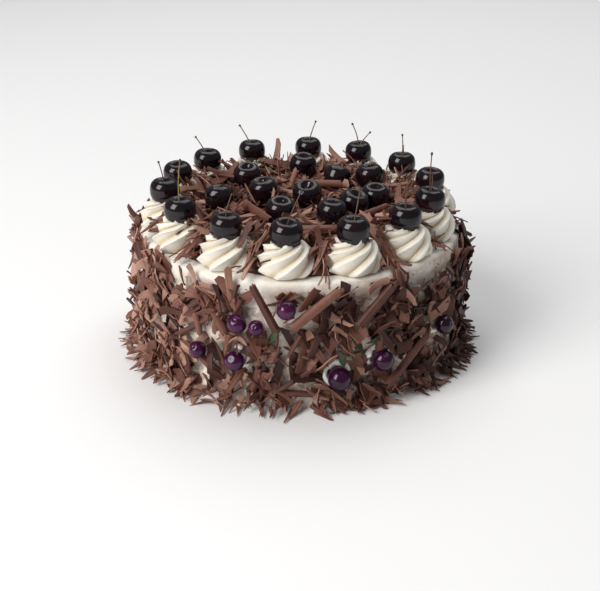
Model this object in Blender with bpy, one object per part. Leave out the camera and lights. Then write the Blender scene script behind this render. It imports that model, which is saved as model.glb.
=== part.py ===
"""Black forest cake: cream-coated cake, piped swirls, cherries and chocolate shavings.

World frame: metres, +Z up, the cake's axis is Z, its base lies on Z = 0 and its
front faces -Y. Bearings are degrees counter-clockwise from +X, seen from above.
"""
from math import cos, pi, radians, sin

import bmesh
import bpy
from mathutils import Matrix, Vector, noise

# Cake
CAKE_RADIUS = 0.1115
CAKE_HEIGHT = 0.0865
CAKE_EDGE_ROUND = 0.004
ROUND_SEGMENTS = 60
GAP = 0.0003
BED_GAP = 2 * GAP

# Piped swirls
SWIRL_COUNT = 14
SWIRL_RING_RADIUS = 0.0918
SWIRL_FIRST_BEARING = 8.0
SWIRL_RADIUS = 0.0178
SWIRL_HEIGHT = 0.0169
SWIRL_RIDGES = 7
SWIRL_GROOVE_DEPTH = 0.22
SWIRL_TWIST = 105.0
SWIRL_TURN = 137.5
SWIRL_SLIPS = (0, 1, 2, 1, 2, 2, 0, -2, -2, 0, 0, 0, 0, -1)
# Rings of a swirl as (share of its radius, share of its height), from the foot to the cup.
SWIRL_RINGS = ((0.86, 0.0), (1.0, 0.22), (0.78, 0.66), (0.41, 1.0), (0.22, 0.83))
# One ridge as (share of its width, share of the groove's depth): groove, crest, shoulder.
SWIRL_RIDGE = ((0.0, 1.0), (0.28, 0.0), (0.62, 0.45))

# Cherries
CHERRY_RADIUS = 0.0099
CHERRY_HALF_HEIGHT = 0.0092
CHERRY_DIMPLE = 0.0028
CHERRY_SEGMENTS = 10
# The dimple's lip as shares of the two radii, and the latitudes of the rings below it.
CHERRY_LIP = (0.34, 0.95)
CHERRY_LATITUDES = (40, 0, -42)
RIM_CHERRY_Z = 0.1110
STEM_RADIUS = 0.0006
STEM_KNOB_RADIUS = 0.0011
STEM_ROOT = 0.0055
STEM_BEND = 0.12
STEM_SWING = 0.002
# Each rim cherry's stems, as (lean to the right, height over the cherry's middle).
RIM_STEMS = (
    (),
    ((-0.002, 0.022),),
    ((-0.006, 0.023), (0.010, 0.016)),
    ((0.007, 0.021),),
    ((-0.011, 0.020),),
    ((-0.009, 0.018),),
    (),
    ((-0.005, 0.021),),
    ((0.003, 0.034),),
    ((0.006, 0.021),),
    ((0.010, 0.028),),
    ((0.005, 0.027),),
    ((0.002, 0.020),),
    ((-0.002, 0.033),),
)
# The loose cherries pressed into the shavings: (distance from the axis, bearing).
LOOSE_CHERRIES = (
    (0.005, 349), (0.026, 169), (0.035, 248), (0.042, 330), (0.046, 297), (0.048, 56),
    (0.052, 353), (0.054, 135), (0.056, 186), (0.064, 38), (0.064, 88),
)
LOOSE_CHERRY_Z = 0.1060
LOOSE_CHERRY_SLIP = 0.0008

# Berries pressed into the side: (bearing, height, diameter), the front ones first.
BERRY_RING_RADIUS = 0.1192
SIDE_BERRIES = (
    (237, 0.036, 0.0114), (250, 0.034, 0.0130), (251, 0.060, 0.0123), (257, 0.059, 0.0100),
    (266, 0.072, 0.0120), (282, 0.024, 0.0150), (296, 0.032, 0.0136), (322, 0.041, 0.0125),
    (12, 0.056, 0.0120), (48, 0.033, 0.0130), (86, 0.050, 0.0125), (124, 0.030, 0.0140),
    (162, 0.062, 0.0120),
)

# Large chocolate rolls on the side: (bearing, height, tilt from upright, length, radius).
ROLL_RING_RADIUS = 0.1192
ROLL_SIDES = 10
ROLL_TAPER = 0.8
CHOCOLATE_ROLLS = (
    (259.5, 0.0725, 27, 0.031, 0.0030), (275, 0.0735, -50, 0.036, 0.0042),
    (293, 0.0715, -44, 0.031, 0.0036), (305, 0.0270, -50, 0.040, 0.0038),
)

# Coat of shavings round the side, and the spiky fringe at its foot
COAT_TOP = 0.0815
# The coat's outline above the fringe, as (radius, height).
COAT_OUTLINE = ((0.1178, 0.0380), (0.1173, 0.0700))
COAT_FOOT_RADIUS = 0.1188
COAT_ROUGHNESS = 0.0026
FRINGE_RADIUS = 0.1275
FRINGE_TOP_RADIUS = 0.1195
FRINGE_TOOTH = 0.0022
FRINGE_HEIGHT = 0.011
FRINGE_EDGE = (0.1260, 0.002)

# Heap of shavings on the top
HEAP_RADIUS = 0.0990
HEAP_HEIGHT = 0.0135
HEAP_FALL = 0.75
HEAP_ROUGHNESS = 0.0032
HEAP_RINGS = 6
HEAP_SEGMENTS = 32
CLEARANCE_SIDES = 14
NOISE_SCALE = 90.0


def on_ring(radius, bearing, height):
    """Point at a distance from the cake's axis, a bearing in degrees and a height."""
    angle = radians(bearing)
    return Vector((radius * cos(angle), radius * sin(angle), height))


def add_node(name, bm, material):
    """Turn a bmesh into a smooth-shaded named object with one material."""
    bmesh.ops.recalc_face_normals(bm, faces=bm.faces)
    mesh = bpy.data.meshes.new(name)
    bm.to_mesh(mesh)
    bm.free()
    mesh.materials.append(material)
    mesh.shade_smooth()
    mesh.set_sharp_from_angle(angle=radians(40))
    node = bpy.data.objects.new(name, mesh)
    bpy.context.scene.collection.objects.link(node)
    return node


def combine(node, tool, operation):
    """Cut a node with a hidden wire tool, or join the tool to it."""
    tool.hide_render = True
    tool.display_type = "WIRE"
    boolean = node.modifiers.new(tool.name, "BOOLEAN")
    boolean.operation = operation
    boolean.solver = "EXACT"
    boolean.object = tool


def new_material(name, color, roughness):
    """Plain Principled material."""
    material = bpy.data.materials.new(name)
    material.use_nodes = True
    shader = material.node_tree.nodes["Principled BSDF"]
    shader.inputs["Base Color"].default_value = (*color, 1.0)
    shader.inputs["Roughness"].default_value = roughness
    shader.inputs["Metallic"].default_value = 0.0
    return material


def cream_material(name):
    """Whipped cream."""
    return new_material(name, (0.90, 0.86, 0.76), 0.55)


def cherry_material(name):
    """Near-black glossy cherry."""
    return new_material(name, (0.020, 0.008, 0.012), 0.12)


def berry_material(name):
    """Dark purple glossy berry."""
    return new_material(name, (0.055, 0.008, 0.040), 0.15)


def chocolate_material(name):
    """Plain chocolate."""
    return new_material(name, (0.13, 0.055, 0.038), 0.50)


def turned(bm, profile, segments):
    """Spin a profile of (radius, height) points round Z and close its ends."""
    verts = [bm.verts.new((radius, 0, height)) for radius, height in profile]
    edges = [bm.edges.new(pair) for pair in zip(verts, verts[1:])]
    bmesh.ops.spin(
        bm, geom=verts + edges, axis=(0, 0, 1), cent=(0, 0, 0),
        steps=segments, angle=2 * pi, use_merge=True,
    )
    bmesh.ops.remove_doubles(bm, verts=bm.verts, dist=1e-6)
    open_edges = [edge for edge in bm.edges if edge.is_boundary]
    if open_edges:
        bmesh.ops.holes_fill(bm, edges=open_edges)


def rounded_edge(radius, height, bevel, steps):
    """Quarter-circle profile points from a side up to a top."""
    points = []
    for step in range(steps + 1):
        angle = 0.5 * pi * step / steps
        points.append((radius - bevel + bevel * cos(angle), height - bevel + bevel * sin(angle)))
    return points


def cake_body():
    """Solid cake with its cream coat."""
    bm = bmesh.new()
    profile = [(CAKE_RADIUS, 0.0)]
    profile += rounded_edge(CAKE_RADIUS, CAKE_HEIGHT, CAKE_EDGE_ROUND, 2)
    turned(bm, profile, ROUND_SEGMENTS)
    add_node("cake_body", bm, cream_material("cake_body"))


def swirl_mesh(bm):
    """Star-piped dome: twisted ridges up to a lip that cups the cherry."""
    loops = []
    for step, (spread, rise) in enumerate(SWIRL_RINGS):
        turn = radians(SWIRL_TWIST) * step / (len(SWIRL_RINGS) - 1)
        loop = []
        for index in range(SWIRL_RIDGES):
            for along, depth in SWIRL_RIDGE:
                angle = turn + 2 * pi * (index + along) / SWIRL_RIDGES
                radius = SWIRL_RADIUS * spread * (1 - SWIRL_GROOVE_DEPTH * depth)
                loop.append(bm.verts.new((radius * cos(angle), radius * sin(angle), rise * SWIRL_HEIGHT)))
        loops.append([bm.edges.new((loop[i - 1], loop[i])) for i in range(len(loop))])
    for lower, upper in zip(loops, loops[1:]):
        bmesh.ops.bridge_loops(bm, edges=lower + upper)
    bmesh.ops.holes_fill(bm, edges=loops[0])
    bmesh.ops.holes_fill(bm, edges=loops[-1])


def swirl_bearing(index):
    """Where a swirl stands on the ring."""
    return SWIRL_FIRST_BEARING + 360.0 * index / SWIRL_COUNT + SWIRL_SLIPS[index]


def swirls():
    """The ring of piped swirls."""
    for index in range(SWIRL_COUNT):
        name = f"swirl_{index + 1:02d}"
        bm = bmesh.new()
        swirl_mesh(bm)
        node = add_node(name, bm, cream_material(name))
        node.location = on_ring(SWIRL_RING_RADIUS, swirl_bearing(index), CAKE_HEIGHT + GAP)
        node.rotation_euler.z = radians(SWIRL_TURN * index)


def cherry_mesh(bm):
    """Oblate cherry with a dimple in its top."""
    lip, lip_rise = CHERRY_LIP
    bottom = CHERRY_HALF_HEIGHT - CHERRY_DIMPLE
    profile = [(0.0, bottom), (lip * CHERRY_RADIUS, lip_rise * CHERRY_HALF_HEIGHT)]
    for angle in CHERRY_LATITUDES:
        spread = CHERRY_RADIUS * cos(radians(angle))
        profile.append((spread, CHERRY_HALF_HEIGHT * sin(radians(angle))))
    profile.append((0.0, -CHERRY_HALF_HEIGHT))
    turned(bm, profile, CHERRY_SEGMENTS)


def stem_mesh(bm, lean, height, swing):
    """Thin bent stem with a knob at its end, rooted in the dimple."""
    tip = Vector((lean, swing, height))
    root = Vector((0, 0, STEM_ROOT))
    bend = root.lerp(tip, 0.5) - Vector((STEM_BEND * lean, 0, 0))
    stops = ((root, STEM_RADIUS), (bend, STEM_RADIUS), (tip, STEM_KNOB_RADIUS))
    turn = (tip - root).to_track_quat("Z", "Y").to_matrix().to_4x4()
    loops = []
    for place, radius in stops:
        ring = bmesh.ops.create_circle(
            bm, segments=4, radius=radius, matrix=Matrix.Translation(place) @ turn)["verts"]
        loops.append(list(dict.fromkeys(edge for vert in ring for edge in vert.link_edges)))
    for lower, upper in zip(loops, loops[1:]):
        bmesh.ops.bridge_loops(bm, edges=lower + upper)
    bmesh.ops.holes_fill(bm, edges=loops[0])
    bmesh.ops.holes_fill(bm, edges=loops[-1])


def rim_cherries():
    """One cherry on each swirl, most of them with a stem."""
    for index, stems in enumerate(RIM_STEMS):
        name = f"rim_cherry_{index + 1:02d}"
        bm = bmesh.new()
        cherry_mesh(bm)
        node = add_node(name, bm, cherry_material(name))
        node.location = on_ring(SWIRL_RING_RADIUS, swirl_bearing(index), RIM_CHERRY_Z)
        for number, (lean, height) in enumerate(stems):
            stem = bmesh.new()
            stem_mesh(stem, lean, height, STEM_SWING * sin(2.4 * index))
            tool = add_node(f"{name}_stem_{number + 1}", stem, cherry_material(name))
            tool.location = node.location
            combine(node, tool, "UNION")


def loose_cherry_places():
    """Middles of the cherries in the heap, a little uneven in height."""
    places = []
    for index, (radius, bearing) in enumerate(LOOSE_CHERRIES):
        places.append(on_ring(radius, bearing, LOOSE_CHERRY_Z + LOOSE_CHERRY_SLIP * sin(2.1 * index)))
    return places


def loose_cherries():
    """Cherries without stems, lying dimple up in the heap."""
    for index, place in enumerate(loose_cherry_places()):
        name = f"loose_cherry_{index + 1:02d}"
        bm = bmesh.new()
        cherry_mesh(bm)
        node = add_node(name, bm, cherry_material(name))
        node.location = place


def uneven(point, depth):
    """Deterministic bump of up to the given depth at a point."""
    return depth * noise.noise(point * NOISE_SCALE)


def heap_profile(share):
    """Height of the heap at a share of its radius: flat in the middle, falling at the rim."""
    return HEAP_HEIGHT * (1 - HEAP_FALL * share ** 4)


def top_shavings():
    """Heap of chocolate shavings inside and between the swirls."""
    floor = CAKE_HEIGHT + GAP
    bm = bmesh.new()
    profile = [(0.0, floor), (HEAP_RADIUS, floor)]
    for ring in range(HEAP_RINGS, -1, -1):
        share = ring / HEAP_RINGS
        profile.append((HEAP_RADIUS * share, floor + heap_profile(share)))
    turned(bm, profile, HEAP_SEGMENTS)
    for vert in bm.verts:
        if vert.co.z > floor + GAP:
            vert.co.z += uneven(vert.co, HEAP_ROUGHNESS)
    node = add_node("top_shavings", bm, chocolate_material("top_shavings"))
    combine(node, swirl_clearance(), "DIFFERENCE")
    combine(node, loose_cherry_clearance(), "DIFFERENCE")


def swirl_clearance():
    """Cylinders that keep the heap off the swirls."""
    radius = (SWIRL_RADIUS + GAP) / cos(pi / CLEARANCE_SIDES)
    bm = bmesh.new()
    for index in range(SWIRL_COUNT):
        place = Matrix.Translation(on_ring(SWIRL_RING_RADIUS, swirl_bearing(index), CAKE_HEIGHT))
        bmesh.ops.create_cone(
            bm, cap_ends=True, segments=CLEARANCE_SIDES, radius1=radius, radius2=radius,
            depth=4 * SWIRL_HEIGHT, matrix=place)
    return add_node("swirl_clearance", bm, chocolate_material("swirl_clearance"))


def loose_cherry_clearance():
    """Enlarged cherries that press their beds into the heap."""
    bm = bmesh.new()
    grow = 1 + BED_GAP / CHERRY_HALF_HEIGHT
    for place in loose_cherry_places():
        bed = bmesh.new()
        cherry_mesh(bed)
        bed.transform(Matrix.Translation(place) @ Matrix.Scale(grow, 4))
        mesh = bpy.data.meshes.new("bed")
        bed.to_mesh(mesh)
        bed.free()
        bm.from_mesh(mesh)
        bpy.data.meshes.remove(mesh)
    return add_node("loose_cherry_clearance", bm, chocolate_material("loose_cherry_clearance"))


def berry_place(berry):
    """Place of a side berry."""
    return Matrix.Translation(on_ring(BERRY_RING_RADIUS, berry[0], berry[1]))


def side_berries():
    """Small dark berries pressed into the side coat."""
    for index, berry in enumerate(SIDE_BERRIES):
        name = f"side_berry_{index + 1:02d}"
        bm = bmesh.new()
        bmesh.ops.create_icosphere(bm, subdivisions=2, radius=0.5 * berry[2])
        node = add_node(name, bm, berry_material(name))
        node.location = berry_place(berry).translation


def roll_place(roll):
    """A roll lies along the side: turned to its bearing, then tilted from upright."""
    bearing, height, tilt = roll[:3]
    place = Matrix.Translation(on_ring(ROLL_RING_RADIUS, bearing, height))
    face_out = Matrix.Rotation(radians(bearing), 4, "Z")
    return place @ face_out @ Matrix.Rotation(radians(tilt), 4, "X")


def chocolate_rolls():
    """The few large rolls of chocolate on the side."""
    for index, roll in enumerate(CHOCOLATE_ROLLS):
        name = f"chocolate_roll_{index + 1}"
        bm = bmesh.new()
        bmesh.ops.create_cone(
            bm, cap_ends=True, segments=ROLL_SIDES, radius1=roll[4], radius2=ROLL_TAPER * roll[4],
            depth=roll[3])
        node = add_node(name, bm, chocolate_material(name))
        node.matrix_world = roll_place(roll)


def side_clearance():
    """Enlarged berries and rolls that press their beds into the coat."""
    bm = bmesh.new()
    for berry in SIDE_BERRIES:
        bmesh.ops.create_icosphere(
            bm, subdivisions=2, radius=0.5 * berry[2] + BED_GAP, matrix=berry_place(berry))
    for roll in CHOCOLATE_ROLLS:
        bmesh.ops.create_cone(
            bm, cap_ends=True, segments=ROLL_SIDES, radius1=roll[4] + BED_GAP,
            radius2=ROLL_TAPER * roll[4] + BED_GAP, depth=roll[3] + 2 * BED_GAP, matrix=roll_place(roll))
    return add_node("side_clearance", bm, chocolate_material("side_clearance"))


def roughen_side(bm):
    """Push the outer points of a ring in and out, each along its own bearing."""
    for vert in bm.verts:
        away = Vector((vert.co.x, vert.co.y, 0))
        if away.length < CAKE_RADIUS + BED_GAP:
            continue
        away.length += uneven(vert.co, COAT_ROUGHNESS)
        vert.co.x = away.x
        vert.co.y = away.y


def side_shavings():
    """Coat of shavings round the side, standing on the fringe."""
    inner = CAKE_RADIUS + GAP
    foot = FRINGE_HEIGHT + GAP
    bm = bmesh.new()
    profile = [(inner, foot), (COAT_FOOT_RADIUS, foot), *COAT_OUTLINE, (inner, COAT_TOP), (inner, foot)]
    turned(bm, profile, ROUND_SEGMENTS)
    roughen_side(bm)
    node = add_node("side_shavings", bm, chocolate_material("side_shavings"))
    combine(node, side_clearance(), "DIFFERENCE")


def foot_fringe():
    """Spiky fringe of shavings round the foot, lying on what the cake stands on."""
    inner = CAKE_RADIUS + GAP
    bm = bmesh.new()
    profile = [
        (inner, 0.0), (FRINGE_RADIUS, 0.0), FRINGE_EDGE, (FRINGE_TOP_RADIUS, FRINGE_HEIGHT),
        (inner, FRINGE_HEIGHT), (inner, 0.0),
    ]
    turned(bm, profile, ROUND_SEGMENTS)
    for vert in bm.verts:
        away = Vector((vert.co.x, vert.co.y, 0))
        if away.length > FRINGE_TOP_RADIUS + GAP:
            step = round(ROUND_SEGMENTS * away.angle(Vector((1, 0, 0))) / (2 * pi))
            away.length += FRINGE_TOOTH if step % 2 else -FRINGE_TOOTH
            vert.co.x = away.x
            vert.co.y = away.y
    roughen_side(bm)
    add_node("foot_fringe", bm, chocolate_material("foot_fringe"))


def main():
    """Clear the scene and build the cake."""
    for old in list(bpy.data.objects):
        bpy.data.objects.remove(old, do_unlink=True)
    cake_body()
    foot_fringe()
    side_shavings()
    side_berries()
    chocolate_rolls()
    top_shavings()
    loose_cherries()
    swirls()
    rim_cherries()


main()
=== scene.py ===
"""Black forest cake: cream coat, piped swirls, cherries, berries and chocolate shavings.

World frame: metres, +Z up, the cake's axis is Z, its base lies on Z = 0 and its
front faces -Y. Bearings are degrees counter-clockwise from +X, seen from above.
"""
from functools import cache
from math import atan2, cos, degrees, exp, pi, radians, sin, sqrt
from random import Random

import bmesh
import bpy
from bpy.props import FloatProperty, FloatVectorProperty, IntProperty, PointerProperty
from mathutils import Matrix, Vector, noise


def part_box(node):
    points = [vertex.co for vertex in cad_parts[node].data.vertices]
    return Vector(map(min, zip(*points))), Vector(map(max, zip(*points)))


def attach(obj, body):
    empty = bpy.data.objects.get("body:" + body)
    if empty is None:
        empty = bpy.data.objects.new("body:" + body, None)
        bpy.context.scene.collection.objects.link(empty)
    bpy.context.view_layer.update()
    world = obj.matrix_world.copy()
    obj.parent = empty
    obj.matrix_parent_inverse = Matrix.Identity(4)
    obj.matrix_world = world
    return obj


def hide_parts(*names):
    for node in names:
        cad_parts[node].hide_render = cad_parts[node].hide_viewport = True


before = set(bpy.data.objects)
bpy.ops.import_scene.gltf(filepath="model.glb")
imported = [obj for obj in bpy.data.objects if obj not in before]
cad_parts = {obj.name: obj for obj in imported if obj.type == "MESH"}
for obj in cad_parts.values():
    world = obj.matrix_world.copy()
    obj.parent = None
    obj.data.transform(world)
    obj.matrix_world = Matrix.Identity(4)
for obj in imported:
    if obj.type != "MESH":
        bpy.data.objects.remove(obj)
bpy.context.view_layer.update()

bl_info = {
    "name": "Black forest cake",
    "version": (1, 0, 0),
    "blender": (4, 5, 0),
    "location": "3D View > Sidebar > Cake",
    "description": "Dresses the packed cake in cream, cherries and chocolate shavings",
    "category": "Object",
}


def nodes_named(start):
    """Names of the CAD nodes that start alike, in order."""
    return sorted(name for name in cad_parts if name.startswith(start))


SWIRL_NODES = nodes_named("swirl_")
RIM_NODES = nodes_named("rim_cherry_")
LOOSE_NODES = nodes_named("loose_cherry_")
BERRY_NODES = nodes_named("side_berry_")
ROLL_NODES = nodes_named("chocolate_roll_")
ROLL_TONES = (0.16, 0.50, 0.14, 0.24)
HEAP_RADIUS = 0.098  # of the heap's core, where it meets the top
COLLARED = 0.0124  # side berries wider than this sit in a collar of cream
# Further quills on the side: bearing and height of one end, then of the other.
PLACED_QUILLS = (
    (289.9, 0.061, 301.4, 0.0825), (295.9, 0.038, 295.5, 0.060), (246, 0.0505, 238.8, 0.0745),
    (224, 0.035, 242, 0.060), (197, 0.048, 209, 0.072), (266, 0.013, 283, 0.009),
)
# Quills in the heap: x, y of one end, of the other, and height.
HEAP_QUILLS = (
    (0.037, -0.050, 0.057, -0.028, 0.106), (0.001, -0.065, 0.027, -0.062, 0.103),
    (-0.037, -0.016, -0.019, -0.049, 0.104), (-0.002, 0.022, 0.030, 0.020, 0.106),
)
# Bits of leaf in the side: bearing, height, spin and length.
LEAF_BITS = (
    (288, 0.044, 40, 0.016), (294, 0.047, -60, 0.014), (301, 0.050, 75, 0.013),
    (283, 0.036, 20, 0.012), (309, 0.056, -35, 0.015), (314, 0.050, 50, 0.012),
    (262, 0.052, -40, 0.012), (70, 0.050, 35, 0.015), (128, 0.045, -50, 0.014),
)


# -------- places and small helpers


def on_ring(radius, bearing, height):
    """Point at a distance from the cake's axis, a bearing in degrees and a height."""
    angle = radians(bearing)
    return Vector((radius * cos(angle), radius * sin(angle), height))


@cache
def box(node):
    """Lowest and highest corner of a CAD node."""
    low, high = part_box(node)
    return Vector(low).freeze(), Vector(high).freeze()


@cache
def middle(node):
    """Middle of a CAD node's box."""
    low, high = box(node)
    return ((low + high) / 2).freeze()


@cache
def extent(node):
    """Size of a CAD node's box."""
    low, high = box(node)
    return (high - low).freeze()


BODY_RADIUS = 0.5 * extent("cake_body").x  # of the cake's own side, under the shavings
BODY_TOP = box("cake_body")[1][2]


def turned(angle, axis):
    """Rotation by an angle in degrees about X, Y or Z."""
    return Matrix.Rotation(radians(angle), 4, axis)


def bearing_of(point):
    """Bearing of a point round the cake's axis, in degrees."""
    return degrees(atan2(point.y, point.x))


def aside(point, over):
    """Level distance between two points."""
    return sqrt((point.x - over.x) ** 2 + (point.y - over.y) ** 2)


def smooth_step(low, high, value):
    """0 below low, 1 above high, and a smooth ramp between them."""
    share = min(1.0, max(0.0, (value - low) / (high - low)))
    return share * share * (3 - 2 * share)


def ripple(point, scale, depth, seed=0.0):
    """Smooth deterministic unevenness at a point."""
    return depth * noise.noise(point * scale + Vector((seed, 1.7 * seed, 0.3 * seed)))


def grid_points(bm, along, across):
    """Add a grid; gives each of its points with its u and v from 0 to 1."""
    made = bmesh.ops.create_grid(bm, x_segments=along, y_segments=across, size=0.5)["verts"]
    return [(vert, vert.co.x + 0.5, vert.co.y + 0.5) for vert in made]


def shaped_grid(bm, along, across, form):
    """Add a grid and bend it: form(u, v) gives the point for u and v."""
    made = grid_points(bm, along, across)
    for vert, u, v in made:
        vert.co = form(u, v)
    return [vert for vert, _, _ in made]


def close_up(bm, gap=1e-6):
    """Merge a bent grid's seam and poles, fill what is open and face it outwards."""
    bmesh.ops.remove_doubles(bm, verts=bm.verts, dist=gap)
    bmesh.ops.dissolve_degenerate(bm, dist=gap, edges=bm.edges)
    open_edges = [edge for edge in bm.edges if edge.is_boundary]
    if open_edges:
        bmesh.ops.holes_fill(bm, edges=open_edges)
    bmesh.ops.recalc_face_normals(bm, faces=bm.faces)


def stored(bm, name):
    """Turn a bmesh into a mesh."""
    mesh = bpy.data.meshes.new(name)
    bm.to_mesh(mesh)
    bm.free()
    return mesh


def linked(name, data):
    """An object in the scene for a mesh, a light or a camera."""
    made = bpy.data.objects.new(name, data)
    bpy.context.scene.collection.objects.link(made)
    return made


def add_piece(name, bm, finish, slot, *nodes, crease=None):
    """Turn a bmesh into a finished piece on the cake's body, standing for CAD nodes if given."""
    mesh = stored(bm, name)
    mesh.materials.append(bpy.data.materials[finish])
    mesh.shade_smooth()
    if crease:
        mesh.set_sharp_from_angle(angle=radians(crease))
    piece = linked(name, mesh)
    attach(piece, "root")
    if nodes:
        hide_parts(*nodes)


# -------- shader arithmetic


class Wire:
    """A shader socket that can be used in sums."""

    def __init__(self, tree, socket):
        self.tree = tree
        self.socket = socket

    def math(self, operation, first, second=None):
        """Add a Math node and return its result."""
        node = self.tree.nodes.new("ShaderNodeMath")
        node.operation = operation
        for socket, value in zip(node.inputs, (first, second)):
            if value is not None:
                feed(self.tree, socket, value)
        return Wire(self.tree, node.outputs[0])

    def __add__(self, other):
        return self.math("ADD", self, other)

    def __sub__(self, other):
        return self.math("SUBTRACT", self, other)

    def __rsub__(self, other):
        return self.math("SUBTRACT", other, self)

    def __mul__(self, other):
        return self.math("MULTIPLY", self, other)

    __radd__ = __add__
    __rmul__ = __mul__

    def clamped(self):
        """The value kept between 0 and 1."""
        return self.math("MINIMUM", self.math("MAXIMUM", self, 0.0), 1.0)


def feed(tree, socket, value):
    """Link a wire to a socket, or set the socket's own value."""
    if isinstance(value, Wire):
        tree.links.new(value.socket, socket)
    elif hasattr(value, "__len__") and len(value) == 3 and socket.type == "RGBA":
        socket.default_value = (*value, 1.0)
    else:
        socket.default_value = value


class Finish:
    """A procedural material under construction."""

    def __init__(self, name):
        material = bpy.data.materials.new(name)
        material.use_nodes = True
        self.tree = material.node_tree
        self.shader = self.tree.nodes["Principled BSDF"]

    def node(self, kind, result, settings=None, **values):
        """Add any node: its settings first, then its sockets; returns one of its results."""
        node = self.tree.nodes.new("ShaderNode" + kind)
        for name, setting in (settings or {}).items():
            setattr(node, name, setting)
        for name, value in values.items():
            key = name.replace("_", " ")
            socket = next(s for s in node.inputs if s.enabled and s.name.lower() == key.lower())
            feed(self.tree, socket, value)
        return Wire(self.tree, next(s for s in node.outputs if s.enabled and s.name == result))

    def place(self):
        """Object coordinates."""
        return self.node("TexCoord", "Object")

    def attribute(self, name):
        """A number kept on the piece's own points."""
        return self.node("Attribute", "Fac", {"attribute_name": name})

    def noise(self, scale, detail=2.0, roughness=0.5, vector=None):
        """Noise over the piece, about 0.5 on average."""
        vector = vector or self.place()
        return self.node("TexNoise", "Fac", vector=vector, scale=scale, detail=detail, roughness=roughness)

    def streaks(self, value, scale, detail=2.0):
        """Noise along one number, such as the grain across a shaving."""
        settings = {"noise_dimensions": "1D"}
        return self.node("TexNoise", "Fac", settings, w=value, scale=scale, detail=detail)

    def mix(self, factor, first, second):
        """Mix two colours."""
        return self.node("Mix", "Result", {"data_type": "RGBA"}, factor=factor, a=first, b=second)

    def bump(self, height, distance, strength=1.0):
        """Feed a height to the shader's normal."""
        normal = self.node("Bump", "Normal", height=height, distance=distance, strength=strength)
        self.set(Normal=normal)

    def set(self, **values):
        """Set or link the shader's own sockets."""
        for name, value in values.items():
            feed(self.tree, self.shader.inputs[name.replace("_", " ")], value)


# -------- sizes and colours


def color_setting(name, description, *color):
    """A colour."""
    return FloatVectorProperty(name=name, description=description, subtype="COLOR", default=color)


def number_setting(name, description, default, subtype="NONE"):
    """A number; a DISTANCE is in metres and an ANGLE in radians."""
    return FloatProperty(name=name, description=description, subtype=subtype, default=default)


def count_setting(name, description, default):
    """A whole number."""
    return IntProperty(name=name, description=description, default=default)


class CreamSettings(bpy.types.PropertyGroup):
    """Whipped cream."""

    color: color_setting("Cream", "Colour of the cream", 0.89, 0.86, 0.79)
    # Painted shade: colour of the cream deep in the swirls' grooves.
    groove_shade_color: color_setting("Grooves", "Colour deep between ridges", 0.64, 0.52, 0.34)
    # Partly a tan tint and partly painted shade of the side's cream, most on the right.
    side_tint_and_shade_color: color_setting("Side", "Cream between the side's shavings", 0.66, 0.50, 0.40)
    stain_color: color_setting("Stains", "Chocolate smeared into the side", 0.20, 0.085, 0.055)
    ridges: count_setting("Ridges", "Ridges of a piped swirl", 6)
    twist: number_setting("Twist", "Turn of the ridges from foot to lip", radians(150), "ANGLE")
    groove_depth: number_setting("Groove depth", "Depth of the grooves as a share of the radius", 0.24)
    relief: number_setting("Relief", "Unevenness of the spread coat", 0.0010, "DISTANCE")


class FruitSettings(bpy.types.PropertyGroup):
    """Cherries, berries and their stems."""

    cherry_color: color_setting("Cherry", "Colour of the cherries' skin", 0.004, 0.003, 0.005)
    berry_color: color_setting("Berry", "Colour of the side berries", 0.022, 0.002, 0.018)
    dimple: number_setting("Dimple", "Depth of a cherry's dimple", 0.0048, "DISTANCE")
    cherry_half_height: number_setting(
        "Cherry half height", "From a cherry's middle to its bottom", 0.0092, "DISTANCE")
    stem_radius: number_setting("Stem radius", "Radius of a cherry's stem", 0.0004, "DISTANCE")


class ChocolateSettings(bpy.types.PropertyGroup):
    """Chocolate shavings."""

    dark: color_setting("Dark", "Darkest shavings", 0.036, 0.0105, 0.0075)
    brown: color_setting("Brown", "Usual shavings", 0.185, 0.074, 0.051)
    pale: color_setting("Pale", "Palest shavings", 0.480, 0.272, 0.205)
    thickness: number_setting("Thickness", "Thickness of a shaving", 0.0007, "DISTANCE")
    side_flakes: count_setting("Side flakes", "Flakes pressed into the side", 1040)
    side_slivers: count_setting("Side slivers", "Thin slivers on the side", 480)
    side_curls: count_setting("Side curls", "Small rolled curls on the side", 56)
    foot_shards: count_setting("Foot shards", "Shards lying round the foot", 400)
    top_strips: count_setting("Top strips", "Broad strips in the heap", 300)
    top_slivers: count_setting("Top slivers", "Thin slivers in the heap", 420)


class StageSettings(bpy.types.PropertyGroup):
    """Floor, lights and camera."""

    floor_color: color_setting("Floor", "Colour of the floor", 0.90, 0.90, 0.905)
    key_power: number_setting("Key light", "Power of the main softbox", 43.0)
    top_power: number_setting("Overhead light", "Power of the overhead softbox", 40.0)
    room_light: number_setting("Room light", "Strength of the pale surroundings", 0.20)
    lens: number_setting("Lens", "Focal length in millimetres", 63.96)
    distance: number_setting("Distance", "Camera's distance in front of the axis", 0.7012, "DISTANCE")
    height: number_setting("Height", "Camera's height", 0.3441, "DISTANCE")
    pitch: number_setting("Pitch", "How far the camera looks down", radians(24.24), "ANGLE")


# -------- finishes


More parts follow.
